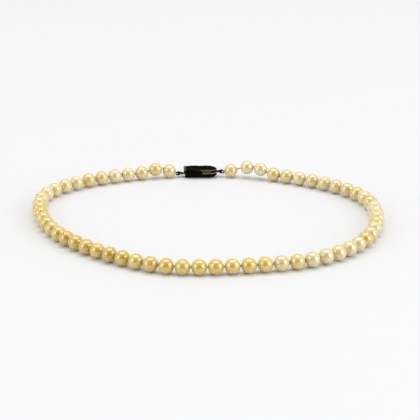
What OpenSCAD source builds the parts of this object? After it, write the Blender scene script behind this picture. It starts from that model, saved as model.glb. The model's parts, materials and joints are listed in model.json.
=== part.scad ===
// Single-strand pearl necklace, lying closed in a loose oval on a flat surface.
// Drilled pearls on a knotted silk thread, with an oval filigree box clasp at the back.
// Millimetres, +Z up. The origin is under the middle of the loop, on the surface it lies on.
// Front of the loop is -Y, the clasp is at +Y, and the clasp's box end points to +X.

/* [Pearls] */
// Diameter of a pearl
pearl_d = 6.5; // [6:0.1:7.5]
// Clear space between neighbouring pearls. The knot there sits partly in their drill holes.
knot_gap = 0.2; // [0.15:0.05:0.4]
// Diameter of the hole drilled through a pearl
bore_d = 0.9; // [0.9:0.05:1.1]
// Width of the worn edge around each drill hole
bore_edge = 0.3; // [0.25:0.05:0.4]

/* [Lie of the strand] */
// How far the second pearl beside the box end stands off the surface
kink_lift = 2; // [0:0.1:2.5]
// Spare thread showing between the first two pearls beside the box end
kink_slack = 1.1; // [0:0.1:1.5]
// How far the second pearl beside the tongue end stands off the surface
tongue_side_lift = 1.2; // [0:0.1:2]

/* [Thread] */
// Diameter of the silk thread
thread_d = 0.4; // [0.3:0.02:0.4]
// Width of a knot
knot_d = 0.84; // [0.7:0.02:0.86]
// Outer diameter of the coiled wire that sleeves the thread's end loops
gimp_d = 0.74; // [0.68:0.02:0.76]

/* [Clasp box] */
// Length of the box, mouth to rounded end
box_length = 15.2; // [14:0.1:16]
// Width of the box across the girdle
box_width = 6; // [5.6:0.1:6.6]
// Height of the box
box_height = 5.2; // [5:0.1:5.6]
// Thickness of the box's sheet metal
box_wall = 0.4; // [0.35:0.05:0.5]
// Outer diameter of each clasp ring
ring_d = 2.8; // [2.7:0.1:3]
// Wire diameter of the clasp rings
ring_wire = 0.6; // [0.5:0.05:0.6]

/* [Clasp tongue] */
// Length of the tongue inside the box
tongue_length = 6.6; // [6:0.1:7]
// Width of the tongue
tongue_width = 2.4; // [2:0.1:2.6]
// Thickness of the tongue's sheet metal
tongue_sheet = 0.3; // [0.25:0.05:0.35]

/* [Hidden] */
$fn = 48;

// The pearls are numbered from the clasp's box end, right round the loop to its tongue end.
// Three pearls make a link, and the links bend against each other at the knots between them.
pearl_count = 61;
link_pearls = 3;
links_per_arm = 10;
middle_pearl = (pearl_count - 1) / 2;
pearl_r = pearl_d / 2;
bore_r = bore_d / 2;
pitch = pearl_d + knot_gap;

thread_r = thread_d / 2;
knot_r = knot_d / 2;
knot_cap_r = knot_r + 0.1;
// Running clearance between a hinge knot and the thread that bends around it
knot_play = 0.03;
gimp_r = gimp_d / 2;
gimp_bore_r = thread_r + 0.03;

// The drawn route of the strand, clockwise seen from above, starting at the clasp's middle.
route_points = [
  [-2.95, 62.5], [12, 61.8], [24, 59.5], [34, 55.5], [46, 49.5], [58, 41.5], [67.5, 32.5],
  [74, 21.5], [77, 9], [77, -4], [74.5, -18.5], [68.5, -33], [60, -44.5], [50, -52.5],
  [38.5, -58], [18.5, -62.3], [-2, -64.3], [-16.5, -63], [-29, -58], [-46, -46],
  [-60.5, -31.5], [-70, -16], [-75.5, 1], [-77.5, 17], [-75, 28.5], [-68, 38.5],
  [-58, 46.8], [-46, 53], [-33.5, 57.8], [-19, 61.2],
];
route_steps = 24;

function wrapped(i) = (i + len(route_points)) % len(route_points);
// One point of a closed Catmull-Rom curve: stretch i, at t from 0 to 1 along it
function curve_point(i, t) =
  let (a = route_points[wrapped(i - 1)])
  let (b = route_points[i])
  let (c = route_points[wrapped(i + 1)])
  let (d = route_points[wrapped(i + 2)])
  b + (c - a) * t / 2 + (2 * a - 5 * b + 4 * c - d) * t * t / 2 + (3 * b - a - 3 * c + d) * t * t * t / 2;

drawn = [
  for (i = [0:len(route_points) - 1])
    for (k = [0:route_steps - 1])
      curve_point(i, k / route_steps)
];
// Distance along the drawn route at each of its points, and once more back at the start
function drawn_step(i) = norm(drawn[(i + 1) % len(drawn)] - drawn[i % len(drawn)]);
drawn_at = [for (i = 0, s = 0; i <= len(drawn); s = s + drawn_step(i), i = i + 1) s];

// Clear lengths from the box to the nearest pearl: ring and sleeved thread at one end,
// tongue, ring and sleeved thread at the other
box_side_gap = 3.6;
tongue_side_gap = 4.4;
// Distances along the strand from the clasp's middle to the first pearl on either side
box_reach = box_length / 2 + box_side_gap + pearl_r;
tongue_reach = box_length / 2 + tongue_side_gap + pearl_r;
strand_length = (pearl_count - 1) * pitch + kink_slack;
route_length = strand_length + box_reach + tongue_reach;
route_scale = route_length / drawn_at[len(drawn)];
route_x = [for (i = [0:len(drawn)]) [drawn_at[i], drawn[i % len(drawn)].x]];
route_y = [for (i = [0:len(drawn)]) [drawn_at[i], drawn[i % len(drawn)].y]];

// The route point at a distance along the strand, before the loop is centred on the origin
function on_route(s) = route_scale * [lookup(s / route_scale, route_x), lookup(s / route_scale, route_y)];
function pearl_distance(i) = box_reach + i * pitch + (i > 0 ? kink_slack : 0);
// The third pearl beside the box end is held up nearly as far as the second
third_pearl_share = 0.85;
function pearl_lift(i) =
  i == 1 ? kink_lift
  : i == 2 ? third_pearl_share * kink_lift
  : i == pearl_count - 2 ? tongue_side_lift
  : 0;

pearls_xy = [for (i = [0:pearl_count - 1]) on_route(pearl_distance(i))];
clasp_xy = on_route(0);
loop_x = [for (p = pearls_xy) p.x];
loop_y = [for (p = pearls_xy) p.y];
// The raised bead round the box's girdle stands out this far
bead_width = 0.4;
back_edge = max(clasp_xy.y + box_width / 2 + bead_width, max(loop_y) + pearl_r);
loop_middle = [
  (max(loop_x) + min(loop_x)) / 2,
  (back_edge + min(loop_y) - pearl_r) / 2,
];
clasp_at = [clasp_xy.x - loop_middle.x, clasp_xy.y - loop_middle.y, 0];

function pearl_at(i) =
  [pearls_xy[i].x - loop_middle.x, pearls_xy[i].y - loop_middle.y, pearl_r + pearl_lift(i)];
// From a pearl's middle to its mouth on the tongue side, level with the line of its neighbours
function to_mouth(i) =
  let (v = pearl_at(min(i + 1, pearl_count - 1)) - pearl_at(max(i - 1, 0)))
  v / norm(v) * pearl_r;
function mirrored(i, point) = 2 * pearl_at(i) - point;
// Knot j lies between pearls j and j + 1. Each pass moves every knot halfway to where its
// neighbours, mirrored through those two pearls, would put it. That leads the straight thread
// from knot to knot close past the middle of every pearl.
easing_passes = 7;
function eased(knots, passes) =
  passes == 0 ? knots
  : let (last = len(knots) - 1)
    let (moved = [
      for (j = [0:last])
        let (before = j == 0 ? mirrored(0, knots[0]) : knots[j - 1])
        let (after = j == last ? mirrored(last + 1, knots[last]) : knots[j + 1])
        knots[j] / 2 + (mirrored(j, before) + mirrored(j + 1, after)) / 4
    ])
    eased(moved, passes - 1);
knots = eased(
  [
    for (j = [0:pearl_count - 2])
      (pearl_at(j) + to_mouth(j) + pearl_at(j + 1) - to_mouth(j + 1)) / 2
  ],
  easing_passes
);
// Past each end pearl, the thread's line is carried straight on
function knot_at(j) =
  j < 0 ? mirrored(0, knots[0])
  : j > pearl_count - 2 ? mirrored(pearl_count - 1, knots[pearl_count - 2])
  : knots[j];

// The knots that the right and left arms bend at, counted from the front of the loop
function right_knot(k) = middle_pearl + 1 - link_pearls * k;
function left_knot(k) = middle_pearl - 2 + link_pearls * k;

// ---- Clasp sizes, in the clasp's own frame: X from the tongue end to the box end ----
mouth_x = -box_length / 2;
box_end_x = box_length / 2;
plate_thickness = 0.45;
// The top and the underside are both part of a wide round, and the underside is cut flat
crown_r = 4.2;
flat_depth = 0.1;
girdle_z = box_height / 2;
end_centre_x = box_end_x - box_width / 2;
ring_mean_r = (ring_d - ring_wire) / 2;
box_ring_z = 2.7;
box_ring_x = box_end_x + ring_mean_r;
tongue_z = 1.6;
// The strip of the tongue is folded back on itself at the tip, round this radius
fold_gap = 0.02;
fold_r = tongue_sheet + fold_gap / 2;
slot_z = 1.45;
slot_height = 1.75;
// Room for the tongue to swing a little as it is drawn out
slot_width = tongue_width + 1.5;
tongue_tip_x = mouth_x + plate_thickness + tongue_length;
tongue_out = 1.1;
tongue_ring_x = mouth_x - tongue_out - ring_mean_r;
tongue_ring_z = tongue_z + tongue_sheet / 2;
neck_width = 1.2;
// The catch's shoulder stands this far above the slot, so it must be pressed to come out
shoulder_catch = 0.35;
shoulder_z = slot_z + slot_height + shoulder_catch;
neck_z = slot_z + slot_height - 0.75;
tab_thickness = 0.5;
tab_x = mouth_x - 0.15;
tab_width = 1.8;
tab_top_r = 1.95;

box_ring_at = clasp_at + [box_ring_x, 0, box_ring_z];
tongue_ring_at = clasp_at + [tongue_ring_x, 0, tongue_ring_z];

// ---- Helpers ----
module rod(from, to, r) {
  run = to - from;
  translate(from)
    rotate([0, acos(run.z / norm(run)), atan2(run.y, run.x)])
      cylinder(h = norm(run), r = r);
}

// Half of a drilled pearl's cross-section, with the drill hole along Y
module pearl_section() {
  hole_end = sqrt(pearl_r * pearl_r - bore_r * bore_r);
  edge_r = bore_r + bore_edge;
  difference() {
    circle(r = pearl_r);
    translate([-2 * pearl_r, -2 * pearl_r]) square([2 * pearl_r + bore_r, 4 * pearl_r]);
    for (side = [-1, 1])
      scale([1, side])
        polygon([
          [bore_r - 0.1, hole_end - bore_edge], [bore_r, hole_end - bore_edge],
          [edge_r, hole_end], [edge_r, pearl_r], [bore_r - 0.1, pearl_r],
        ]);
  }
}

module pearl(i) {
  along = knot_at(i) - knot_at(i - 1);
  translate(pearl_at(i))
    rotate([0, acos(along.z / norm(along)), atan2(along.y, along.x)])
      rotate_extrude()
        pearl_section();
}

module pearl_row(first, last) {
  color("#ecdcbc")
    for (i = [first:last]) pearl(i);
}

// A knot has a short upright round face, which a hinge knot bends around
module knot(j) {
  translate(knot_at(j))
    intersection() {
      cylinder(h = 2 * knot_cap_r, r = knot_r, center = true);
      sphere(r = knot_cap_r);
    }
}

// The straight thread through a pearl, from inside one knot to inside the next
knot_overlap = 0.2;
module pearl_thread(from, to) {
  along = (to - from) / norm(to - from);
  rod(from + along * knot_overlap, to - along * knot_overlap, thread_r);
}

// Thread from knot start to knot end. A hinge knot that belongs to the link before is cut clear of.
module thread(start, end) {
  step = end > start ? 1 : -1;
  color("#cdbb94") {
    difference() {
      pearl_thread(knot_at(start), knot_at(start + step));
      translate(knot_at(start)) cylinder(h = 4 * knot_cap_r, r = knot_r + knot_play, center = true);
    }
    for (j = [start + step:step:end]) {
      knot(j);
      if (j != end) pearl_thread(knot_at(j), knot_at(j + step));
    }
  }
}

// ---- End loops: the thread runs out of the last pearl, round a clasp ring, and back ----
leg_inside = 0.22;
leg_outside = gimp_r + 0.05;
wrap_r = ring_wire / 2 + gimp_r + 0.06;
wrap_steps = 14;
wrap_angle = 140;

function flat_direction(v) = [v.x, v.y, 0] / norm([v.x, v.y, 0]);
up = [0, 0, 1];

// The mouth of an end pearl: where the thread's line leaves it towards the clasp
function end_mouth(i, knot) = pearl_at(i) + (pearl_at(i) - knot) / norm(pearl_at(i) - knot) * pearl_r;

// The sleeved part of a loop, from beside the mouth, round the ring's wire and back
function sleeve_path(mouth, ring) =
  let (e = flat_direction(ring - mouth))
  let (wire = ring - e * ring_mean_r)
  concat(
    [mouth + e * 0.3 + up * leg_outside],
    [
      for (k = [0:wrap_steps])
        let (a = wrap_angle - 2 * wrap_angle * k / wrap_steps)
        wire + wrap_r * (e * cos(a) + up * sin(a))
    ],
    [mouth + e * 0.3 - up * leg_outside]
  );

// The whole loop, which starts and ends inside the last knot
function loop_path(i, knot, ring) =
  let (mouth = end_mouth(i, knot))
  let (along = (mouth - knot) / norm(mouth - knot))
  concat(
    [knot + along * knot_overlap + up * leg_inside, mouth - along * 0.5 + up * leg_inside],
    sleeve_path(mouth, ring),
    [mouth - along * 0.5 - up * leg_inside, knot + along * knot_overlap - up * leg_inside]
  );

function path_tangent(path, i) =
  let (v = path[min(i + 1, len(path) - 1)] - path[max(i - 1, 0)])
  v / norm(v);

// Rings of points around a path that lies in an upright plane
function tube_points(path, r, sides) =
  let (side = cross(up, flat_direction(path[len(path) / 2] - path[0])))
  [
    for (i = [0:len(path) - 1])
      for (k = [0:sides - 1])
        let (a = 360 * k / sides)
        path[i] + r * (side * cos(a) + cross(side, path_tangent(path, i)) * sin(a))
  ];

tube_sides = 10;
function tube_walls(rings, base, flip) = [
  for (i = [0:rings - 2])
    for (k = [0:tube_sides - 1])
      let (a = base + i * tube_sides + k)
      let (b = base + i * tube_sides + (k + 1) % tube_sides)
      flip ? [a, a + tube_sides, b + tube_sides, b] : [a, b, b + tube_sides, a + tube_sides]
];

module solid_tube(path, r) {
  rings = len(path);
  first_cap = [for (k = [tube_sides - 1:-1:0]) k];
  last_cap = [for (k = [0:tube_sides - 1]) (rings - 1) * tube_sides + k];
  polyhedron(
    points = tube_points(path, r, tube_sides),
    faces = concat([first_cap, last_cap], tube_walls(rings, 0, false))
  );
}

module end_loop(i, knot_number, ring) {
  solid_tube(loop_path(i, knot_at(knot_number), ring), thread_r);
}

module sleeve(i, knot_number, ring) {
  path = sleeve_path(end_mouth(i, knot_at(knot_number)), ring);
  rings = len(path);
  inner = rings * tube_sides;
  // The two ends are rings of four-sided faces between the outer and the inner wall
  first_end = [
    for (k = [0:tube_sides - 1])
      let (n = (k + 1) % tube_sides)
      [k, inner + k, inner + n, n]
  ];
  last_end = [
    for (k = [0:tube_sides - 1])
      let (n = (k + 1) % tube_sides)
      let (o = (rings - 1) * tube_sides)
      [o + k, o + n, inner + o + n, inner + o + k]
  ];
  color("#4a4234")
    polyhedron(
      points = concat(tube_points(path, gimp_r, tube_sides), tube_points(path, gimp_bore_r, tube_sides)),
      faces = concat(
        tube_walls(rings, 0, false), tube_walls(rings, inner, true), first_end, last_end
      )
    );
}

// ---- Clasp box ----
module at_clasp() {
  translate(clasp_at) children();
}

// Half of the box's cross-section, from its middle plane outwards, drawn with X across and Y up
module half_section(inset) {
  intersection() {
    translate([0, box_height - crown_r]) circle(r = crown_r - inset, $fn = 144);
    translate([0, crown_r - flat_depth]) circle(r = crown_r - inset, $fn = 144);
    translate([0, inset]) square([box_width / 2 - inset, box_height - 2 * inset]);
  }
}

// The box's form: a straight body with one rounded end
module box_form(inset, from_x) {
  translate([from_x, 0, 0])
    rotate([90, 0, 90])
      linear_extrude(end_centre_x - from_x) {
        half_section(inset);
        mirror([1, 0]) half_section(inset);
      }
  translate([end_centre_x, 0, 0])
    rotate([0, 0, -90])
      rotate_extrude(angle = 180)
        half_section(inset);
}

module hollow_box() {
  difference() {
    box_form(0, mouth_x);
    box_form(box_wall, mouth_x - 1);
  }
}

// Openings pierced through the domed top, in two lobes of four around a round one
lobe_centres = [mouth_x + 4.4, mouth_x + 10.1];
pierced_r = 0.42;
petal_offset = 1.15;
module top_piercing() {
  for (x = lobe_centres) {
    translate([x, 0, girdle_z]) cylinder(h = box_height, r = pierced_r);
    for (a = [45:90:315])
      translate([x + petal_offset * cos(a) * 1.3, petal_offset * sin(a) * 1.3, girdle_z + 1])
        cylinder(h = box_height, r = pierced_r * 0.9);
  }
}

// Rows of openings pierced through the upright sides, just above the girdle
side_pitch = 1.85;
side_count = 6;
module side_piercing() {
  for (k = [0:side_count - 1])
    translate([mouth_x + 1.9 + k * side_pitch, 0, girdle_z + 0.85])
      rotate([90, 0, 0])
        cylinder(h = 2 * box_width, r = pierced_r, center = true);
}

module clasp_top_shell() {
  color("#5b5138")
    at_clasp()
      difference() {
        hollow_box();
        translate([mouth_x - 1, -box_width, -1]) cube([box_length + 2, 2 * box_width, girdle_z + 1]);
        top_piercing();
        side_piercing();
      }
}

module clasp_bottom_shell() {
  color("#4a4230")
    at_clasp()
      difference() {
        hollow_box();
        translate([mouth_x - 1, -box_width, girdle_z]) cube([box_length + 2, 2 * box_width, box_height]);
      }
}

// The plate that closes the square end, with the slot that the tongue goes in by
module clasp_mouth_plate() {
  color("#4a4230")
    at_clasp()
      difference() {
        intersection() {
          box_form(box_wall + 0.02, mouth_x);
          translate([mouth_x, -box_width, 0]) cube([plate_thickness, 2 * box_width, box_height]);
        }
        translate([mouth_x - 1, -slot_width / 2, slot_z])
          cube([plate_thickness + 2, slot_width, slot_height]);
      }
}

// A raised bead that covers the joint between the two shells, open where the ring is fixed
bead_height = 0.56;
bead_gap = 1.3;
module plan_outline(half_width) {
  translate([mouth_x, -half_width]) square([end_centre_x - mouth_x, 2 * half_width]);
  translate([end_centre_x, 0]) circle(r = half_width);
}
module clasp_girdle_bead() {
  color("#6a5c3a")
    at_clasp()
      translate([0, 0, girdle_z - bead_height / 2])
        linear_extrude(bead_height)
          difference() {
            plan_outline(box_width / 2 + bead_width);
            plan_outline(box_width / 2);
            translate([mouth_x - 1, -box_width / 2]) square([2, box_width]);
            translate([end_centre_x, -bead_gap]) square([box_width, 2 * bead_gap]);
          }
}

// Curled wires laid on the dome: a ring round each lobe and a beaded ridge between them
curl_wire_r = 0.16;
curl_r = 0.85;
crown_z = box_height - 0.04;
module clasp_filigree() {
  color("#8a7846")
    at_clasp() {
      for (x = lobe_centres)
        translate([x, 0, crown_z + curl_wire_r])
          rotate_extrude()
            translate([curl_r, 0]) circle(r = curl_wire_r, $fn = 24);
      translate([(lobe_centres[0] + lobe_centres[1]) / 2, 0, crown_z + 0.2])
        sphere(r = 0.32, $fn = 32);
    }
}

// A flat-lying ring of round wire, flattened on its inside where the sleeved thread runs
module clasp_ring() {
  rotate_extrude()
    intersection() {
      translate([ring_mean_r, 0]) circle(r = ring_wire / 2, $fn = 32);
      translate([ring_mean_r - ring_wire * 0.42, -ring_wire]) square([ring_wire, 2 * ring_wire]);
    }
}

module clasp_box_ring() {
  color("#4a4230")
    translate(box_ring_at)
      difference() {
        clasp_ring();
        translate(-[box_ring_x, 0, box_ring_z]) box_form(-0.01, mouth_x);
      }
}

// ---- Clasp tongue ----
// The catch bends at the fold's axis, which runs across the tongue's tip
fold_x = tongue_tip_x - fold_r;
fold_z = tongue_z + fold_r + fold_gap;

// A strip across the tongue, given its outline seen from the side
module across(width) {
  translate([0, width / 2, 0])
    rotate([90, 0, 0])
      linear_extrude(width)
        children();
}

// The lower leaf runs from the ring, through the slot, to the rounded fold at the tip
module tongue_leaf() {
  leaf_start = mouth_x - tongue_out;
  color("#7d7458")
    at_clasp()
      across(tongue_width) {
        translate([leaf_start, tongue_z]) square([fold_x - leaf_start, tongue_sheet]);
        translate([fold_x, fold_z]) circle(r = fold_r);
      }
}

module tongue_ring() {
  color("#4a4230")
    translate(tongue_ring_at)
      difference() {
        clasp_ring();
        translate([ring_mean_r - 0.02, -ring_d / 2, -tongue_sheet / 2 - 0.01])
          cube([ring_d, ring_d, tongue_sheet + 0.02]);
      }
}

// The spring leaf rises from the fold to a shoulder behind the mouth plate, then a narrow neck
// steps down through the slot and carries the thumb tab outside
shoulder_x = mouth_x + plate_thickness + 0.12;
shoulder_depth = 1.1 * tongue_sheet;
module catch_spring_leaf() {
  leaf_z = fold_z + fold_r + fold_gap;
  color("#7d7458")
    at_clasp() {
      across(tongue_width)
        polygon([
          [fold_x, leaf_z],
          [fold_x, leaf_z + tongue_sheet],
          [shoulder_x, shoulder_z],
          [shoulder_x, shoulder_z - shoulder_depth],
          [fold_x - 2 * tongue_sheet, leaf_z],
        ]);
      across(neck_width)
        polygon([
          [shoulder_x, shoulder_z],
          [shoulder_x, shoulder_z - shoulder_depth],
          [shoulder_x + tongue_sheet, neck_z],
          [tab_x, neck_z],
          [tab_x, neck_z + tongue_sheet],
          [shoulder_x - 0.01, neck_z + tongue_sheet],
        ]);
    }
}

// The tab stands up in front of the mouth, with a rounded top
module catch_thumb_tab() {
  color("#6a5c3a")
    at_clasp()
      translate([tab_x - tab_thickness, 0, 0])
        rotate([90, 0, 90])
          linear_extrude(tab_thickness)
            intersection() {
              translate([-tab_width / 2, neck_z]) square([tab_width, box_height]);
              translate([0, box_height - tab_top_r]) circle(r = tab_top_r);
            }
}

// ---- Links ----
module pearls_front() pearl_row(middle_pearl - 1, middle_pearl + 1);
module pearls_right(k) {
  nearest = right_knot(k);
  pearl_row(max(nearest - link_pearls + 1, 0), nearest);
}
module pearls_left(k) {
  nearest = left_knot(k) + 1;
  pearl_row(nearest, min(nearest + link_pearls - 1, pearl_count - 1));
}
module thread_front() {
  color("#cdbb94") {
    for (j = [right_knot(1):left_knot(1) - 1]) pearl_thread(knot_at(j), knot_at(j + 1));
    for (j = [right_knot(1):left_knot(1)]) knot(j);
  }
}
module thread_right(k) {
  if (k < links_per_arm) thread(right_knot(k), right_knot(k + 1));
  else {
    thread(right_knot(k), 0);
    color("#cdbb94") end_loop(0, 0, box_ring_at);
  }
}
module thread_left(k) {
  last_knot = pearl_count - 2;
  if (k < links_per_arm) thread(left_knot(k), left_knot(k + 1));
  else {
    thread(left_knot(k), last_knot);
    color("#cdbb94") end_loop(pearl_count - 1, last_knot, tongue_ring_at);
  }
}
module gimp_box_side() sleeve(0, 0, box_ring_at);
module gimp_tongue_side() sleeve(pearl_count - 1, pearl_count - 2, tongue_ring_at);

function two_digits(k) = k < 10 ? str("0", k) : str(k);

pearls_front();
thread_front();
for (k = [1:links_per_arm]) {
  pearls_right(k);
  pearls_left(k);
  thread_right(k);
  thread_left(k);
}
gimp_box_side();
gimp_tongue_side();
clasp_top_shell();
clasp_bottom_shell();
clasp_mouth_plate();
clasp_girdle_bead();
clasp_filigree();
clasp_box_ring();
tongue_leaf();
tongue_ring();
catch_spring_leaf();
catch_thumb_tab();
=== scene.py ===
"""Looks of the pearl necklace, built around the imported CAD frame. Metres, +Z up, front is -Y."""

import json
import math
import random

import bpy
import numpy as np
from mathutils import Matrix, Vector, noise


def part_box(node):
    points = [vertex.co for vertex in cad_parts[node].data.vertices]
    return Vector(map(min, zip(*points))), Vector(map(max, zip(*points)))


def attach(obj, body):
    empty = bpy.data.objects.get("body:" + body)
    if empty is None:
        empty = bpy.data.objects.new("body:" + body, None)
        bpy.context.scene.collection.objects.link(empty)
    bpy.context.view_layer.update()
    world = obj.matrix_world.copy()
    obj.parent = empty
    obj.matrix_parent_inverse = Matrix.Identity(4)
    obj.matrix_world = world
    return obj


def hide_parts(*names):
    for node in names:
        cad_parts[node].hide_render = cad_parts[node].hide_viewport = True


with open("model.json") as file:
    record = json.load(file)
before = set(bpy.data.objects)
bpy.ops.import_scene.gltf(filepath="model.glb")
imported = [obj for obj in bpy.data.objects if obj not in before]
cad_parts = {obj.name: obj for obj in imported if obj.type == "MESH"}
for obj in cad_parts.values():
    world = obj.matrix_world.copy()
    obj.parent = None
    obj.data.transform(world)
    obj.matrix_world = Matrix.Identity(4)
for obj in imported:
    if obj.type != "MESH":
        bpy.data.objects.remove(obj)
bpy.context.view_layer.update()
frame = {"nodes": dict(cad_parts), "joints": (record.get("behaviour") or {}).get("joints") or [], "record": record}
NODES = frame["nodes"]
BODY_OF = {n: b for b, ns in frame["record"]["behaviour"]["bodies"].items() for n in ns}
MM = 0.001
SEED = 4177
UP = np.array([0.0, 0.0, 1.0])


# ---------------------------------------------------------------- mesh helpers
def unit(v):
    v = np.asarray(v, float)
    return v / np.linalg.norm(v)


def make_piece(name, verts, faces, node, material, floats):
    """A mesh piece that replaces one CAD node and rides on that node's body.
    floats holds the named values that its material reads at each vertex."""
    mesh = bpy.data.meshes.new(name)
    mesh.from_pydata([tuple(v) for v in verts], [], faces)
    mesh.validate()
    for attribute, values in floats.items():
        layer = mesh.attributes.new(attribute, "FLOAT", "POINT")
        layer.data.foreach_set("value", np.asarray(values, np.float32))
    mesh.polygons.foreach_set("use_smooth", [True] * len(mesh.polygons))
    mesh.update()
    mesh.materials.append(material)
    piece = bpy.data.objects.new(name, mesh)
    bpy.context.scene.collection.objects.link(piece)
    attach(piece, BODY_OF[node])
    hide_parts(node)


class Build:
    """Collects the vertices and faces of one piece, with a value at each vertex for its wear and, on the clasp's
    wirework, a painted highlight.
    """

    def __init__(self):
        self.verts, self.faces, self.wear = [], [], []

    def add(self, verts, faces, wear):
        base = len(self.verts)
        self.verts += [tuple(v) for v in verts]
        self.faces += [tuple(base + i for i in f) for f in faces]
        self.wear += list(wear) if hasattr(wear, "__len__") else [wear] * len(verts)

    def piece(self, name, node, slot, material):
        make_piece(name, self.verts, self.faces, node, material, {"wear": self.wear})


def frames_along(path, closed):
    """Tangents and parallel-transported normals of a path of points."""
    p = np.asarray(path, float)
    if closed:
        t = np.roll(p, -1, 0) - np.roll(p, 1, 0)
    else:
        t = np.gradient(p, axis=0)
    t /= np.linalg.norm(t, axis=1)[:, None]
    first = UP if abs(t[0] @ UP) < 0.9 else np.array([1.0, 0, 0])
    n = np.zeros_like(t)
    n[0] = unit(first - (first @ t[0]) * t[0])
    for i in range(1, len(p)):
        v = n[i - 1] - (n[i - 1] @ t[i]) * t[i]
        n[i] = unit(v)
    if closed:
        last = n[-1] - (n[-1] @ t[0]) * t[0]
        turn = math.atan2(np.cross(last, n[0]) @ t[0], last @ n[0])
        for i in range(len(p)):
            a = turn * i / len(p)
            n[i] = n[i] * math.cos(a) + np.cross(t[i], n[i]) * math.sin(a)
    return t, n


def tube(path, radius, sides, closed=False):
    """A round tube along a path, with one radius or one for each point. Open ends are capped."""
    p = np.asarray(path, float)
    t, n = frames_along(p, closed)
    b = np.cross(t, n)
    r = np.broadcast_to(radius, len(p))[:, None, None]
    a = (np.arange(sides) * 2 * math.pi / sides)[None, :, None]
    rings = p[:, None] + r * (np.cos(a) * n[:, None] + np.sin(a) * b[:, None])
    verts = rings.reshape(-1, 3)
    faces = []
    count = len(p)
    for i in range(count if closed else count - 1):
        j = (i + 1) % count
        for k in range(sides):
            m = (k + 1) % sides
            faces.append((i * sides + k, i * sides + m, j * sides + m, j * sides + k))
    if not closed:
        faces.append(tuple(range(sides - 1, -1, -1)))
        faces.append(tuple((count - 1) * sides + k for k in range(sides)))
    return verts, faces


def resample(path, step):
    """The same path with evenly spaced points about step apart."""
    p = np.asarray(path, float)
    s = np.concatenate([[0], np.cumsum(np.linalg.norm(np.diff(p, axis=0), axis=1))])
    n = max(2, int(round(s[-1] / step)) + 1)
    at = np.linspace(0, s[-1], n)
    return np.stack([np.interp(at, s, p[:, k]) for k in range(3)], 1)


def coil_round(path, radius, pitch, phase, per_turn):
    """A helix that winds round a path, with per_turn points in each turn."""
    p = resample(path, pitch / per_turn)
    t, n = frames_along(p, False)
    b = np.cross(t, n)
    s = np.concatenate([[0], np.cumsum(np.linalg.norm(np.diff(p, axis=0), axis=1))])
    a = phase + 2 * math.pi * s / pitch
    return p + radius * (np.cos(a)[:, None] * n + np.sin(a)[:, None] * b)


def ball(centre, radius, rows, columns, squash=1.0):
    """A round grain, flattened from above."""
    side = unit(np.cross(UP, [0.3, 1, 0.2]))
    other = np.cross(UP, side)
    verts = [centre + UP * radius * squash]
    for i in range(1, rows):
        a = math.pi * i / rows
        for k in range(columns):
            c = 2 * math.pi * k / columns
            verts.append(
                centre
                + UP * radius * squash * math.cos(a)
                + radius * math.sin(a) * (side * math.cos(c) + other * math.sin(c))
            )
    verts.append(centre - UP * radius * squash)
    faces = [(0, 1 + k, 1 + (k + 1) % columns) for k in range(columns)]
    for i in range(rows - 2):
        for k in range(columns):
            m = (k + 1) % columns
            a, b = 1 + i * columns, 1 + (i + 1) * columns
            faces.append((a + k, b + k, b + m, a + m))
    last = len(verts) - 1
    a = 1 + (rows - 2) * columns
    faces += [(last, a + (k + 1) % columns, a + k) for k in range(columns)]
    return verts, faces


def loose_parts(node):
    """The vertices of each separate solid of a CAD node, in metres."""
    mesh = NODES[node].data
    co = np.array([v.co for v in mesh.vertices], float)
    keys = {}
    same = np.zeros(len(co), int)
    # vertices at the same micrometre belong together
    for i, c in enumerate(np.round(co * 1e6).astype(int)):
        same[i] = keys.setdefault(tuple(c), i)
    parent = list(range(len(co)))

    def root(i):
        while parent[i] != i:
            parent[i] = parent[parent[i]]
            i = parent[i]
        return i

    for i, j in enumerate(same):
        parent[root(i)] = root(j)
    for poly in mesh.polygons:
        vs = list(poly.vertices)
        for j in vs[1:]:
            parent[root(vs[0])] = root(j)
    groups = {}
    for i in range(len(co)):
        groups.setdefault(root(i), []).append(i)
    return [co[g] for g in groups.values()]


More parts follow.
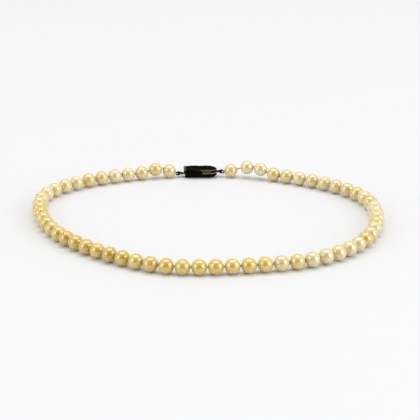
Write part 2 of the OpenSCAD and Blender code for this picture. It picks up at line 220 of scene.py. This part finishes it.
# ---------------------------------------------------------------- material helpers
class Nodes:
    """A small wrapper that makes node trees readable."""

    def __init__(self, name):
        self.material = bpy.data.materials.new(name)
        self.material.use_nodes = True
        self.tree = self.material.node_tree
        self.bsdf = self.tree.nodes["Principled BSDF"]
        self.object_co = self.node("ShaderNodeTexCoord").outputs["Object"]

    def node(self, kind, **props):
        made = self.tree.nodes.new(kind)
        for k, v in props.items():
            setattr(made, k, v)
        return made

    def link(self, a, b):
        self.tree.links.new(a, b)

    def noise(self, scale, detail=3.0, rough=0.5, distort=0.0, vector=None):
        n = self.node("ShaderNodeTexNoise")
        n.inputs["Scale"].default_value = scale
        n.inputs["Detail"].default_value = detail
        n.inputs["Roughness"].default_value = rough
        n.inputs["Distortion"].default_value = distort
        self.link(vector or self.object_co, n.inputs["Vector"])
        return n.outputs["Fac"]

    def ramp(self, fac, stops):
        n = self.node("ShaderNodeValToRGB")
        while len(n.color_ramp.elements) < len(stops):
            n.color_ramp.elements.new(0.5)
        for e, (at, colour) in zip(n.color_ramp.elements, stops):
            e.position = at
            e.color = (*colour, 1)
        self.link(fac, n.inputs["Fac"])
        return n.outputs["Color"]

    def spread(self, fac, low, high, a=0.0, b=1.0):
        n = self.node("ShaderNodeMapRange")
        n.inputs["From Min"].default_value = low
        n.inputs["From Max"].default_value = high
        n.inputs["To Min"].default_value = a
        n.inputs["To Max"].default_value = b
        self.link(fac, n.inputs["Value"])
        return n.outputs["Result"]

    def mix(self, fac, a, b):
        n = self.node("ShaderNodeMix", data_type="RGBA")
        for value, socket in ((fac, n.inputs[0]), (a, n.inputs[6]), (b, n.inputs[7])):
            if hasattr(value, "links"):
                self.link(value, socket)
            elif hasattr(value, "__len__"):
                socket.default_value = (*value, 1)
            else:
                socket.default_value = value
        return n.outputs[2]

    def maths(self, operation, a, b):
        n = self.node("ShaderNodeMath", operation=operation)
        for value, socket in zip((a, b), n.inputs):
            if hasattr(value, "links"):
                self.link(value, socket)
            else:
                socket.default_value = value
        return n.outputs[0]

    def attribute(self, name):
        return self.node("ShaderNodeAttribute", attribute_name=name).outputs["Fac"]

    def bump(self, height, strength, distance, normal=None):
        n = self.node("ShaderNodeBump")
        n.inputs["Strength"].default_value = strength
        n.inputs["Distance"].default_value = distance
        self.link(height, n.inputs["Height"])
        if normal is not None:
            self.link(normal, n.inputs["Normal"])
        return n.outputs["Normal"]

    def set(self, **values):
        for key, value in values.items():
            socket = self.bsdf.inputs[key.replace("_", " ")]
            if hasattr(value, "links"):
                self.link(value, socket)
            else:
                socket.default_value = value


# ---------------------------------------------------------------- materials
CREAM_TO_GOLD = [
    (0.0, (0.80, 0.705, 0.40)),
    (0.45, (0.70, 0.515, 0.035)),
    (1.0, (0.61, 0.41, 0.006)),
]
CLOUD = (0.78, 0.65, 0.27)
CLOUD_SHARE = 0.45
BLUSH = (0.80, 0.52, 0.30)
BLUSH_SHARE = 0.1
SPECK = (0.42, 0.28, 0.06)
SPECK_SHARE = 0.2
HOLE_EDGE = (0.80, 0.66, 0.30)
HOLE_EDGE_SHARE = 0.7


def nacre():
    """Golden nacre with cloudy patches, a few specks, a worn edge at the holes and a clear coat."""
    n = Nodes("pearl_nacre")
    # the tone that each pearl carries is its own random colour with painted side light on top: deeper golden at
    # the front left, creamier elsewhere
    tone_and_painted_light = n.attribute("tone_and_painted_light")
    rose = n.attribute("rose")
    rim = n.attribute("rim")
    cream = n.ramp(tone_and_painted_light, CREAM_TO_GOLD)
    cloud = n.spread(n.noise(300, 3, 0.55, 0.5), 0.42, 0.66)
    body = n.mix(n.maths("MULTIPLY", cloud, CLOUD_SHARE), cream, CLOUD)
    blush = n.mix(n.maths("MULTIPLY", rose, BLUSH_SHARE), body, BLUSH)
    speck = n.spread(n.noise(2600, 1, 0.5), 0.74, 0.80)
    marked = n.mix(n.maths("MULTIPLY", speck, SPECK_SHARE), blush, SPECK)
    worn = n.mix(n.maths("MULTIPLY", rim, HOLE_EDGE_SHARE), marked, HOLE_EDGE)
    n.set(Base_Color=worn)
    rough = n.spread(n.noise(700, 2, 0.5), 0.3, 0.7, 0.24, 0.36)
    n.set(Roughness=n.maths("ADD", rough, n.maths("MULTIPLY", rim, 0.3)))
    n.set(Metallic=0.1, IOR=1.85, Specular_IOR_Level=0.25)
    n.bsdf.inputs["Specular Tint"].default_value = (1.0, 0.90, 0.97, 1)
    n.set(Subsurface_Weight=0.35, Subsurface_Scale=0.002)
    n.bsdf.inputs["Subsurface Radius"].default_value = (0.9, 0.75, 0.2)
    n.set(Coat_Weight=1.0, Coat_Roughness=0.15, Coat_IOR=2.1)
    n.bsdf.inputs["Coat Tint"].default_value = (1.0, 0.97, 0.95, 1)
    n.set(Sheen_Weight=0.2, Sheen_Roughness=0.3)
    n.bsdf.inputs["Sheen Tint"].default_value = (1.0, 0.94, 0.92, 1)
    ripple = n.noise(480, 2, 0.45, 0.6)
    fine = n.noise(3800, 2, 0.5)
    n.set(Normal=n.bump(fine, 0.05, 0.00001, n.bump(ripple, 0.12, 0.00006)))
    return n.material


SILK_DARK = (0.86, 0.70, 0.36)
SILK_LIGHT = (0.95, 0.86, 0.60)
SILK_SOILED = (0.66, 0.50, 0.22)
SOIL_SHARE = 0.5


def silk():
    """Cream silk, a little yellowed in places."""
    n = Nodes("silk_thread")
    fibre = n.noise(9000, 3, 0.6)
    soil = n.spread(n.noise(600, 2, 0.5), 0.4, 0.7)
    colour = n.ramp(fibre, [(0.3, SILK_DARK), (0.7, SILK_LIGHT)])
    n.set(Base_Color=n.mix(n.maths("MULTIPLY", soil, SOIL_SHARE), colour, SILK_SOILED))
    n.set(Roughness=0.62, Sheen_Weight=0.5, Sheen_Roughness=0.4)
    n.set(Normal=n.bump(fibre, 0.5, 0.00003))
    return n.material


GRAIN_LIFT = 2.2


def tarnished(name, dark, bright, share, rough):
    """Tarnished brass: dark sulphide in the hollows, bright where the vertex value is near 1, which is rubbed wear
    and, on the clasp's wirework, a painted highlight towards its rounded end.
    """
    n = Nodes(name)
    wear = n.attribute("wear")
    patch = n.noise(900, 4, 0.6, 0.3)
    grain = n.noise(5200, 3, 0.6)
    # the bright share is rubbed wear and, on the wirework, the painted highlight towards the clasp's rounded end
    exposed_and_highlit = n.maths("ADD", n.maths("MULTIPLY", wear, 0.5), patch)
    rubbed_and_highlit = n.spread(exposed_and_highlit, 1.0 - share, 1.12 - share)
    shade = n.mix(n.spread(grain, 0.35, 0.7), dark, [c * GRAIN_LIFT for c in dark])
    n.set(Base_Color=n.mix(rubbed_and_highlit, shade, bright))
    n.set(Metallic=0.92, Specular_IOR_Level=0.25)
    n.bsdf.inputs["Specular Tint"].default_value = (0.35, 0.30, 0.22, 1)
    n.set(Roughness=n.spread(n.noise(2400, 3, 0.6), 0.3, 0.7, *rough))
    n.set(Normal=n.bump(grain, 0.25, 0.00003, n.bump(patch, 0.25, 0.00008)))
    return n.material


def floor_material():
    n = Nodes("studio_floor")
    n.set(Base_Color=(0.80, 0.805, 0.815, 1), Roughness=0.7, Specular_IOR_Level=0.15)
    return n.material


BLACKENED = (0.006, 0.005, 0.003)

PEARL = nacre()
SILK = silk()
GIMP = tarnished("gimp_tarnish", (0.004, 0.003, 0.002), (0.035, 0.026, 0.010), 0.18, (0.45, 0.7))
SHELL = tarnished("clasp_shell_tarnish", BLACKENED, (0.07, 0.05, 0.02), 0.22, (0.40, 0.66))
# the wirework's bright marks are rubbed wear and a painted highlight towards the clasp's rounded end
WIREWORK = tarnished("clasp_wirework_tarnish_and_highlight", (0.006, 0.005, 0.0025), (0.34, 0.27, 0.13), 0.30,
                     (0.30, 0.55))
FITTING = tarnished("clasp_fitting_tarnish", BLACKENED, (0.08, 0.06, 0.026), 0.22, (0.40, 0.66))
STRIP = tarnished("spring_strip", (0.06, 0.046, 0.022), (0.42, 0.33, 0.15), 0.55, (0.28, 0.46))


# ---------------------------------------------------------------- pearls
AROUND = 48
DOWN = 34
RIM_STEPS = 3
BORE_STEPS = 5
BORE_R = 0.45 * MM
EDGE_R = 0.3 * MM
EDGE_FADE = 0.35 * MM
OVAL = 0.006
WAVES = 0.0045
DIMPLES = 0.0016
# painted side light: pearls are tinted deepest golden towards this angle round the strand, the front left, and
# creamier away from it
PAINTED_SHADE_SIDE = math.radians(-125)
LEAST_TINT = 0.12
PAINTED_SHADE_TINT = 0.62
TINT_SPREAD = 0.13


def bore_profile(top):
    """Radius and height down a drill hole and round the softened edges at its two ends."""
    lip = []
    for i in range(1, RIM_STEPS + 1):
        a = math.pi / 2 * i / RIM_STEPS
        lip.append((BORE_R + EDGE_R * (1 - math.sin(a)), -(top - EDGE_R * (1 - math.cos(a)) * 0.9)))
    depth = top - 0.9 * EDGE_R
    inner = [(BORE_R, -depth * (1 - 2 * i / BORE_STEPS)) for i in range(1, BORE_STEPS)]
    return lip + inner + [(a, -b) for a, b in reversed(lip)]


def pearl_shape(centre, axis, r, rng):
    """One drilled pearl, slightly out of round, with a softened edge at each end of its hole.
    Returns its vertices and faces, and how near each vertex is to a drill hole."""
    u = unit(np.cross(axis, UP))
    w = np.cross(axis, u)
    shift = Vector([rng.uniform(-50, 50) for _ in range(3)])
    oval_dir = unit([rng.gauss(0, 1) for _ in range(3)])
    oval = rng.uniform(-OVAL, OVAL)
    start = math.asin((BORE_R + EDGE_R) / r)
    turns = [start + (math.pi - 2 * start) * i / DOWN for i in range(DOWN + 1)]
    profile = [(r * math.sin(a), r * math.cos(a), True) for a in turns]
    profile += [(a, b, False) for a, b in bore_profile(profile[0][1])]
    verts, rim = [], []
    for radial, axial, outer in profile:
        for k in range(AROUND):
            c = 2 * math.pi * k / AROUND
            p = axis * axial + radial * (math.cos(c) * u + math.sin(c) * w)
            if outer:
                d = p / r
                v = Vector(d)
                uneven = (
                    oval * (3 * (d @ oval_dir) ** 2 - 1) / 2
                    + WAVES * noise.noise(v * 1.6 + shift)
                    + DIMPLES * noise.noise(v * 5.0 + shift)
                )
                p = p * (1 + uneven)
            verts.append(centre + p)
            gap = radial - BORE_R - EDGE_R * 0.6
            near = 1.0 - gap / EDGE_FADE if abs(axial) > 0.6 * r else 0.0
            rim.append(min(1.0, max(0.0, near if outer else 1.0)))
    faces = []
    count = len(profile)
    for i in range(count):
        j = (i + 1) % count
        for k in range(AROUND):
            m = (k + 1) % AROUND
            faces.append((i * AROUND + k, j * AROUND + k, j * AROUND + m, i * AROUND + m))
    return verts, faces, rim


def pearl_axis(points, centre, r):
    """The direction of a CAD pearl's drill hole, from the vertices that lie inside the ball."""
    inside = points[np.linalg.norm(points - centre, axis=1) < 0.95 * r]
    values, vectors = np.linalg.eigh(np.cov((inside - centre).T))
    return unit(vectors[:, -1])


def tone_and_painted_side_light(centre, rng):
    """How golden a pearl is: its own random tone, plus painted side light that makes it deepest golden at the
    strand's front left and creamier everywhere else.
    """
    away = math.atan2(centre[1], centre[0]) - PAINTED_SHADE_SIDE
    painted_shade = max(0.0, math.cos(away)) ** 2
    return min(1.0, max(0.0, rng.gauss(LEAST_TINT + PAINTED_SHADE_TINT * painted_shade, TINT_SPREAD)))


def make_pearls():
    """Replaces each node of pearls, and returns the middles of all of them."""
    rng = random.Random(SEED)
    centres = []
    for node in [n for n in NODES if n.startswith("pearls_")]:
        verts, faces, tones_and_painted_light, roses, rims = [], [], [], [], []
        parts = sorted(loose_parts(node), key=lambda p: tuple(np.round(p.mean(0), 4)))
        for points in parts:
            low, high = points.min(0), points.max(0)
            centre, r = (low + high) / 2, max(high - low) / 2
            axis = pearl_axis(points, centre, r)
            v, f, rim = pearl_shape(centre, axis, r, rng)
            base = len(verts)
            verts += v
            faces += [tuple(base + i for i in q) for q in f]
            rims += rim
            # each pearl's random tone plus the painted side light for where it sits on the strand
            tones_and_painted_light += [tone_and_painted_side_light(centre, rng)] * len(v)
            roses += [min(1, max(0, rng.gauss(0.4, 0.3)))] * len(v)
            centres.append(centre)
        make_piece(node.replace("pearls", "nacre_pearls"), verts, faces, node, PEARL,
                   {"tone_and_painted_light": tones_and_painted_light, "rose": roses, "rim": rims})
    return centres


PEARL_CENTRES = make_pearls()


# ---------------------------------------------------------------- the strand's order and its knots
def joint_at(name):
    for joint in frame["joints"]:
        if joint["name"] == name:
            return np.array(joint["pos_m"])


BOX_RING = joint_at("box_ring_swing")
TONGUE_RING = joint_at("tongue_ring_swing")


def in_order():
    """The middles of the pearls, from the clasp's box end round to its tongue end."""
    left = list(PEARL_CENTRES)
    here = BOX_RING
    order = []
    while left:
        near = min(range(len(left)), key=lambda i: np.linalg.norm(left[i] - here))
        here = left.pop(near)
        order.append(here)
    return np.array(order)


CENTRES = in_order()
PEARL_R = 3.25 * MM
EASING_PASSES = 7


def find_knots(p):
    """The knots between neighbouring pearls, eased so that the thread runs through every bore."""
    along = np.gradient(p, axis=0)
    mouth = PEARL_R * along / np.linalg.norm(along, axis=1)[:, None]
    k = (p[:-1] + mouth[:-1] + p[1:] - mouth[1:]) / 2
    for _ in range(EASING_PASSES):
        ends = np.vstack([2 * p[0] - k[0], k, 2 * p[-1] - k[-1]])
        k = k / 2 + (p[:-1] + p[1:]) / 2 - (ends[:-2] + ends[2:]) / 4
    return k


KNOTS = find_knots(CENTRES)
MIDDLE = (len(CENTRES) - 1) // 2


# ---------------------------------------------------------------- silk thread
PLY_R = 0.105 * MM
PLY_OFFSET = 0.09 * MM
PLY_PITCH = 1.1 * MM
INSIDE_KNOT = 0.28 * MM
KNOT_STRAND_R = 0.125 * MM
KNOT_STEPS = 34
ANY_TURN = 6.28


def plied(build, path, phase, radius=PLY_R, offset=PLY_OFFSET, pitch=PLY_PITCH, wear=0.5):
    """Two plies twisted together along a path."""
    for turn in (phase, phase + math.pi):
        wound = coil_round(path, offset, pitch, turn, 9)
        build.add(*tube(wound, radius, 6), wear=wear)


def knot_curve(centre, axis, turn, size):
    """A pulled-tight overhand knot round the thread, as one closed strand."""
    u = unit(np.cross(axis, UP))
    w = np.cross(axis, u)
    c, s = math.cos(turn), math.sin(turn)
    points = []
    for i in range(KNOT_STEPS):
        t = 2 * math.pi * i / KNOT_STEPS
        x = math.sin(t) + 2 * math.sin(2 * t)
        y = math.cos(t) - 2 * math.cos(2 * t)
        z = -math.sin(3 * t)
        across = (c * x - s * y) * u + (s * x + c * y) * w
        points.append(centre + size * (0.096 * across + 0.21 * z * axis))
    return points


def add_knot(build, j, rng):
    axis = unit(CENTRES[j + 1] - CENTRES[j])
    turn = rng.uniform(0, ANY_TURN)
    curve = knot_curve(KNOTS[j], axis, turn, rng.uniform(0.92, 1.0) * MM)
    build.add(*tube(curve, KNOT_STRAND_R, 7, True), wear=0.2)


def thread_pieces():
    """One piece for each section of the thread: its plies between the knots, and its knots."""
    rng = random.Random(SEED + 1)
    last = len(KNOTS) - 1
    jobs = [("thread_front", list(range(MIDDLE - 2, MIDDLE + 2)), True)]
    for k in range(1, 11):
        start = MIDDLE + 1 - 3 * k
        jobs.append((f"thread_right_{k:02d}", list(range(start, max(start - 3, 0) - 1, -1)), False))
        start = MIDDLE - 2 + 3 * k
        jobs.append((f"thread_left_{k:02d}", list(range(start, min(start + 3, last) + 1)), False))
    for node, knots, own_first in jobs:
        build = Build()
        for a, b in zip(knots, knots[1:]):
            inset = unit(KNOTS[b] - KNOTS[a]) * INSIDE_KNOT
            plied(build, [KNOTS[a] + inset, KNOTS[b] - inset], rng.uniform(0, ANY_TURN))
        for j in knots if own_first else knots[1:]:
            add_knot(build, j, rng)
        if node.endswith("_10"):
            end = 0 if "right" in node else last
            plied(build, loop_path(end), rng.uniform(0, ANY_TURN))
        build.piece(node.replace("thread", "silk_thread"), node, "silk_thread", SILK)


# ---------------------------------------------------------------- end loops and their sleeves
GIMP_R = 0.37 * MM
GIMP_WIRE_R = 0.075 * MM
GIMP_PITCH = 0.165 * MM
GIMP_UNEVEN = 0.05
RING_MEAN_R = 1.1 * MM
RING_WIRE_R = 0.3 * MM
LEG_INSIDE = 0.22 * MM
LEG_AT_KNOT = 0.12 * MM
LEG_DEPTH = 0.5 * MM
SLEEVE_START = 0.3 * MM
LEG_OUTSIDE = GIMP_R + 0.05 * MM
WRAP_R = RING_WIRE_R + GIMP_R + 0.06 * MM
WRAP_ANGLE = math.radians(140)
WRAP_STEPS = 40


def loop_ends(end):
    """The end pearl's mouth, its last knot, and the clasp ring that this end's loop goes round."""
    pearl = CENTRES[0] if end == 0 else CENTRES[-1]
    knot = KNOTS[end]
    ring = BOX_RING if end == 0 else TONGUE_RING
    return pearl + unit(pearl - knot) * PEARL_R, knot, ring


def sleeve_path(end):
    """The line that the coiled sleeve follows: out of the pearl, round the ring's wire and back."""
    mouth, _, ring = loop_ends(end)
    e = ring - mouth
    e[2] = 0
    e = unit(e)
    wire = ring - e * RING_MEAN_R
    start = mouth + e * SLEEVE_START
    path = [start + UP * LEG_OUTSIDE]
    for k in range(WRAP_STEPS + 1):
        a = WRAP_ANGLE * (1 - 2 * k / WRAP_STEPS)
        path.append(wire + WRAP_R * (e * math.cos(a) + UP * math.sin(a)))
    path.append(start - UP * LEG_OUTSIDE)
    return path


def loop_path(end):
    """The thread of an end loop, from the last knot round the ring and back to it."""
    mouth, knot, _ = loop_ends(end)
    along = unit(mouth - knot)
    at_knot = knot + along * INSIDE_KNOT
    in_pearl = mouth - along * LEG_DEPTH
    path = [at_knot + UP * LEG_AT_KNOT, in_pearl + UP * LEG_INSIDE]
    path += sleeve_path(end)
    path += [in_pearl - UP * LEG_INSIDE, at_knot - UP * LEG_AT_KNOT]
    return path


def gimp_pieces():
    """The coiled sleeves over the end loops."""
    for node, end in (("gimp_box_side", 0), ("gimp_tongue_side", len(KNOTS) - 1)):
        build = Build()
        coil = coil_round(sleeve_path(end), GIMP_R - GIMP_WIRE_R, GIMP_PITCH, 0.0, 12)
        rng = random.Random(SEED + end)
        swell = [GIMP_WIRE_R * (1 + GIMP_UNEVEN * rng.uniform(-1, 1)) for _ in coil]
        wear = [0.35 + 0.4 * noise.noise(Vector(p) * 900) for p in coil for _ in range(6)]
        build.add(*tube(coil, swell, 6), wear)
        build.piece(node.replace("gimp", "coiled_gimp"), node, "gimp_wire", GIMP)


thread_pieces()
gimp_pieces()


# ---------------------------------------------------------------- clasp
BOX_LOW, BOX_HIGH = (np.array(c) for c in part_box("clasp_bottom_shell"))
MOUTH_X, BOX_END_X = BOX_LOW[0], BOX_HIGH[0]
CLASP_Y = (BOX_LOW[1] + BOX_HIGH[1]) / 2
HALF_WIDTH = (BOX_HIGH[1] - BOX_LOW[1]) / 2
END_X = BOX_END_X - HALF_WIDTH
GIRDLE_Z = BOX_HIGH[2]
CROWN_R = 4.2 * MM
CROWN_CENTRE_Z = 2 * GIRDLE_Z - CROWN_R
SHOULDER_Z = CROWN_CENTRE_Z + math.sqrt(CROWN_R ** 2 - HALF_WIDTH ** 2)
MOUTH_INSET = 0.15 * MM
END_STEPS = 24
RING_CLEARANCE = 1.3 * MM
# where the wirework's rubbed wear and painted highlight begin along the clasp, and how far they take to reach full
# strength
RUB_AND_HIGHLIGHT_FROM = 0.40
RUB_AND_HIGHLIGHT_OVER = 0.2


def dome_z(x, y):
    """Height of the box's top at a point seen from above."""
    across = math.hypot(max(0.0, x - END_X), y - CLASP_Y)
    return CROWN_CENTRE_Z + math.sqrt(max(0.0, CROWN_R ** 2 - min(across, HALF_WIDTH) ** 2))


def on_dome(x, y, lift):
    return np.array([x, y, dome_z(x, y) + lift])


def girdle_path(offset, z, step):
    """Round the box at a height, from the mouth along one side, round the end, and back."""
    r = HALF_WIDTH + offset
    path = [(MOUTH_X + MOUTH_INSET, CLASP_Y - r, z), (END_X, CLASP_Y - r, z)]
    for i in range(1, END_STEPS):
        a = -math.pi / 2 + math.pi * i / END_STEPS
        path.append((END_X + r * math.cos(a), CLASP_Y + r * math.sin(a), z))
    path += [(END_X, CLASP_Y + r, z), (MOUTH_X + MOUTH_INSET, CLASP_Y + r, z)]
    return resample(path, step)


def clear_of_ring(path):
    """The stretches of a girdle path that leave the ring's place free."""
    runs, run = [], []
    for p in path:
        if p[0] > END_X and abs(p[1] - CLASP_Y) < RING_CLEARANCE:
            if len(run) > 1:
                runs.append(run)
            run = []
        else:
            run.append(p)
    if len(run) > 1:
        runs.append(run)
    return runs


def rub_and_highlight_end(build):
    """Keeps the wirework's bright marks towards the clasp's rounded end and fades them out towards the mouth and
    on the crown: partly wear where fingers hold the clasp, partly a painted highlight on that end.
    """
    for i, (x, _, z) in enumerate(build.verts):
        along = (x - MOUTH_X) / (BOX_END_X - MOUTH_X)
        share = min(1.0, max(0.0, (along - RUB_AND_HIGHLIGHT_FROM) / RUB_AND_HIGHLIGHT_OVER))
        crown = min(1.0, max(0.0, (z - SHOULDER_Z - 0.15 * MM) / (0.8 * MM)))
        # the painted highlight: full towards the rounded end, cut back on the crown
        build.wear[i] *= share * (1 - 0.8 * crown)


GIRDLE_WIRE_R = 0.075 * MM
MILGRAIN_R = 0.2 * MM


def girdle_piece():
    """Two plain wires with a row of small grains between them."""
    build = Build()
    rng = random.Random(SEED + 7)
    low, high = (np.array(c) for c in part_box("clasp_girdle_bead"))
    middle = (low[2] + high[2]) / 2
    half = (high[2] - low[2]) / 2
    for z in (middle - half + GIRDLE_WIRE_R, middle + half - GIRDLE_WIRE_R):
        for run in clear_of_ring(girdle_path(0.09 * MM, z, 0.45 * MM)):
            build.add(*tube(run, GIRDLE_WIRE_R, 6), wear=0.7)
    for run in clear_of_ring(girdle_path(0.16 * MM, middle, 0.37 * MM)):
        for p in run:
            squash = rng.uniform(0.86, 1.0)
            verts, faces = ball(p, MILGRAIN_R * rng.uniform(0.92, 1.04), 7, 10, squash)
            build.add(verts, faces, 0.75 + 0.25 * rng.random())
    rub_and_highlight_end(build)
    build.piece("girdle_milgrain", "clasp_girdle_bead", "clasp_wirework", WIREWORK)


def wire_on_dome(build, points, radius, closed):
    """A wire laid on the dome and sunk a little into it."""
    path = [on_dome(x, y, radius * 0.55) for x, y in points]
    build.add(*tube(path, radius, 7, closed), wear=0.85)


def grain_on_dome(build, x, y, lift, radius, wear, rows=6, columns=9):
    build.add(*ball(on_dome(x, y, lift), radius, rows, columns), wear)


def circle_points(x, y, r, steps):
    turns = [2 * math.pi * i / steps for i in range(steps)]
    return [(x + r * math.cos(a), y + r * math.sin(a)) for a in turns]


SPIRAL_STEPS = 26


def spiral_points(x, y, start, r0, r1, turns, way):
    points = []
    for i in range(SPIRAL_STEPS):
        t = i / (SPIRAL_STEPS - 1)
        a = start + way * 2 * math.pi * turns * t
        r = r0 + (r1 - r0) * t
        points.append((x + r * math.cos(a), y + r * math.sin(a)))
    return points


LOBES = (MOUTH_X + 4.4 * MM, MOUTH_X + 10.1 * MM)
HUB_R = 0.85 * MM
PETAL_AT = 1.495 * MM
PETAL_R = 0.5 * MM
SCROLL_OUT = 0.62 * MM
SCROLL_R = 0.3 * MM
SCROLL_EYE_R = 0.05 * MM
FINE_WIRE_R = 0.085 * MM
SIDE_SCROLLS = 6
SIDE_START = 1.9 * MM
SIDE_PITCH = 1.85 * MM
SIDE_SCROLL_R = 0.5 * MM
SIDE_SQUASH = 0.94
SIDE_RISE = 0.85 * MM


def add_lobe(build, x):
    """A flower of wire on the dome: a pierced hub, four petals and their scrolls."""
    wire_on_dome(build, circle_points(x, CLASP_Y, 0.56 * MM, 20), 0.10 * MM, True)
    wire_on_dome(build, circle_points(x, CLASP_Y, HUB_R, 28), 0.15 * MM, True)
    for px, py in circle_points(x, CLASP_Y, HUB_R, 12):
        grain_on_dome(build, px, py, 0.17 * MM, 0.14 * MM, 1.0)
    for quarter in range(4):
        a = math.pi / 4 + quarter * math.pi / 2
        cx, cy = x + PETAL_AT * math.cos(a), CLASP_Y + PETAL_AT * math.sin(a)
        wire_on_dome(build, circle_points(cx, cy, PETAL_R, 18), 0.11 * MM, True)
        out = 1 if math.sin(a) > 0 else -1
        side = 1 if math.cos(a) > 0 else -1
        for way in (1, -1):
            scroll = spiral_points(cx + side * way * SCROLL_OUT, cy + out * SCROLL_OUT, -out * 1.2,
                                   SCROLL_R, SCROLL_EYE_R, 1.1, way * out * side)
            wire_on_dome(build, scroll, FINE_WIRE_R, False)
        grain_on_dome(build, cx + side * 0.78 * MM, cy, 0.08 * MM, 0.18 * MM, 1.0)
    for side in (-1, 1):
        grain_on_dome(build, x + side * 1.55 * MM, CLASP_Y, 0.06 * MM, 0.2 * MM, 1.0)


def add_middle(build):
    """The grains between the two flowers."""
    middle = (LOBES[0] + LOBES[1]) / 2
    grain_on_dome(build, middle, CLASP_Y, 0.12 * MM, 0.32 * MM, 1.0, 9, 14)
    for px, py in circle_points(middle, CLASP_Y, 0.46 * MM, 8):
        grain_on_dome(build, px, py, 0.06 * MM, 0.13 * MM, 0.9, 6, 8)
    for side in (-1, 1):
        for i in range(3):
            y = CLASP_Y + side * (1.15 + 0.62 * i) * MM
            grain_on_dome(build, middle, y, 0.06 * MM, (0.2 - 0.02 * i) * MM, 0.9)


def add_side_scrolls(build, side):
    """Small rings of wire round the pierced openings of one upright side, with grains between."""
    y = CLASP_Y + side * (HALF_WIDTH + 0.05 * MM)
    z = GIRDLE_Z + SIDE_RISE
    for i in range(SIDE_SCROLLS):
        x = MOUTH_X + SIDE_START + i * SIDE_PITCH
        circle = circle_points(x, 0, SIDE_SCROLL_R, 16)
        ring = [(along, y, z + SIDE_SQUASH * rise) for along, rise in circle]
        build.add(*tube(ring, FINE_WIRE_R, 6, True), wear=0.85)
        grain_x = x + SIDE_PITCH / 2
        if grain_x < END_X + 0.3 * MM:
            build.add(*ball(np.array([grain_x, y, z]), 0.15 * MM, 6, 8), wear=1.0)


def filigree_piece():
    build = Build()
    rng = random.Random(SEED + 9)
    for x in LOBES:
        add_lobe(build, x)
    add_middle(build)
    # a twisted rope round the shoulder, where the dome meets the upright sides
    rope = girdle_path(-0.06 * MM, SHOULDER_Z + 0.05 * MM, 0.4 * MM)
    plied(build, rope, rng.uniform(0, 6), FINE_WIRE_R, 0.08 * MM, 0.55 * MM, 0.9)
    for side in (-1, 1):
        add_side_scrolls(build, side)
    rub_and_highlight_end(build)
    build.piece("filigree_wirework", "clasp_filigree", "clasp_wirework", WIREWORK)


def carried_over():
    """CAD nodes that keep their shape and get a better finish."""
    finish = {
        "clasp_top_shell": SHELL, "clasp_bottom_shell": SHELL, "clasp_mouth_plate": SHELL,
        "clasp_box_ring": FITTING, "tongue_ring": FITTING, "catch_thumb_tab": FITTING,
        "tongue_leaf": STRIP, "catch_spring_leaf": STRIP,
    }
    for node, material in finish.items():
        slots = NODES[node].data.materials
        for i in range(len(slots)):
            slots[i] = material


girdle_piece()
filigree_piece()
carried_over()


# ---------------------------------------------------------------- stage, lights and camera
FLOOR_HALF = 6.0
FLOOR_DROP = 0.00002
CAMERA_AT = (0.00156, -0.5926, 0.2209)
CAMERA_TILT = 20.0
CAMERA_SENSOR_MM = 36
CAMERA_LENS_MM = 122.7
ROOM_LIGHT = 0.76
ROOM_DARK = 0.05
DARK_WITHIN = math.cos(math.radians(26))
DARK_UP_TO = math.cos(math.radians(54))


def make_floor():
    h = FLOOR_HALF
    mesh = bpy.data.meshes.new("studio_floor")
    mesh.from_pydata([(-h, -h, 0), (h, -h, 0), (h, h, 0), (-h, h, 0)], [], [(0, 1, 2, 3)])
    mesh.materials.append(floor_material())
    floor = bpy.data.objects.new("studio_floor", mesh)
    bpy.context.scene.collection.objects.link(floor)
    floor.location.z = -FLOOR_DROP


def make_light(name, at, target, size, power):
    data = bpy.data.lights.new(name, "AREA")
    data.shape = "RECTANGLE"
    data.size, data.size_y = size
    data.energy = power
    light = bpy.data.objects.new(name, data)
    bpy.context.scene.collection.objects.link(light)
    light.location = at
    light.rotation_euler = (Vector(target) - Vector(at)).to_track_quat("-Z", "Y").to_euler()


def make_world():
    """An even white room, darker on the side that the camera looks in from."""
    world = bpy.data.worlds.new("studio")
    world.use_nodes = True
    bpy.context.scene.world = world
    tree = world.node_tree
    direction = tree.nodes.new("ShaderNodeTexCoord").outputs["Generated"]
    towards = tree.nodes.new("ShaderNodeVectorMath")
    towards.operation = "DOT_PRODUCT"
    tree.links.new(direction, towards.inputs[0])
    towards.inputs[1].default_value = unit(CAMERA_AT)
    shade = tree.nodes.new("ShaderNodeMapRange")
    shade.interpolation_type = "SMOOTHSTEP"
    shade.inputs["From Min"].default_value = DARK_UP_TO
    shade.inputs["From Max"].default_value = DARK_WITHIN
    shade.inputs["To Min"].default_value = ROOM_LIGHT
    shade.inputs["To Max"].default_value = ROOM_DARK
    tree.links.new(towards.outputs["Value"], shade.inputs["Value"])
    background = tree.nodes["Background"]
    background.inputs["Color"].default_value = (1.0, 0.99, 0.985, 1)
    tree.links.new(shade.outputs["Result"], background.inputs["Strength"])


def make_camera():
    data = bpy.data.cameras.new("camera")
    data.sensor_width = CAMERA_SENSOR_MM
    data.lens = CAMERA_LENS_MM
    data.clip_start, data.clip_end = 0.01, 50
    camera = bpy.data.objects.new("camera", data)
    bpy.context.scene.collection.objects.link(camera)
    camera.location = CAMERA_AT
    camera.rotation_euler = (math.radians(90 - CAMERA_TILT), 0, 0)
    bpy.context.scene.camera = camera


make_floor()
make_world()
make_camera()
make_light("overhead", (0, 0.35, 1.8), (0, 0.05, 0), (2.0, 1.2), 14.0)
make_light("left", (-1.7, -0.84, 0.80), (0, 0, 0.02), (1.5, 1.5), 11.0)
make_light("right", (1.7, -0.84, 0.80), (0, 0, 0.02), (1.5, 1.5), 18.0)
bpy.context.scene.view_settings.view_transform = "Standard"
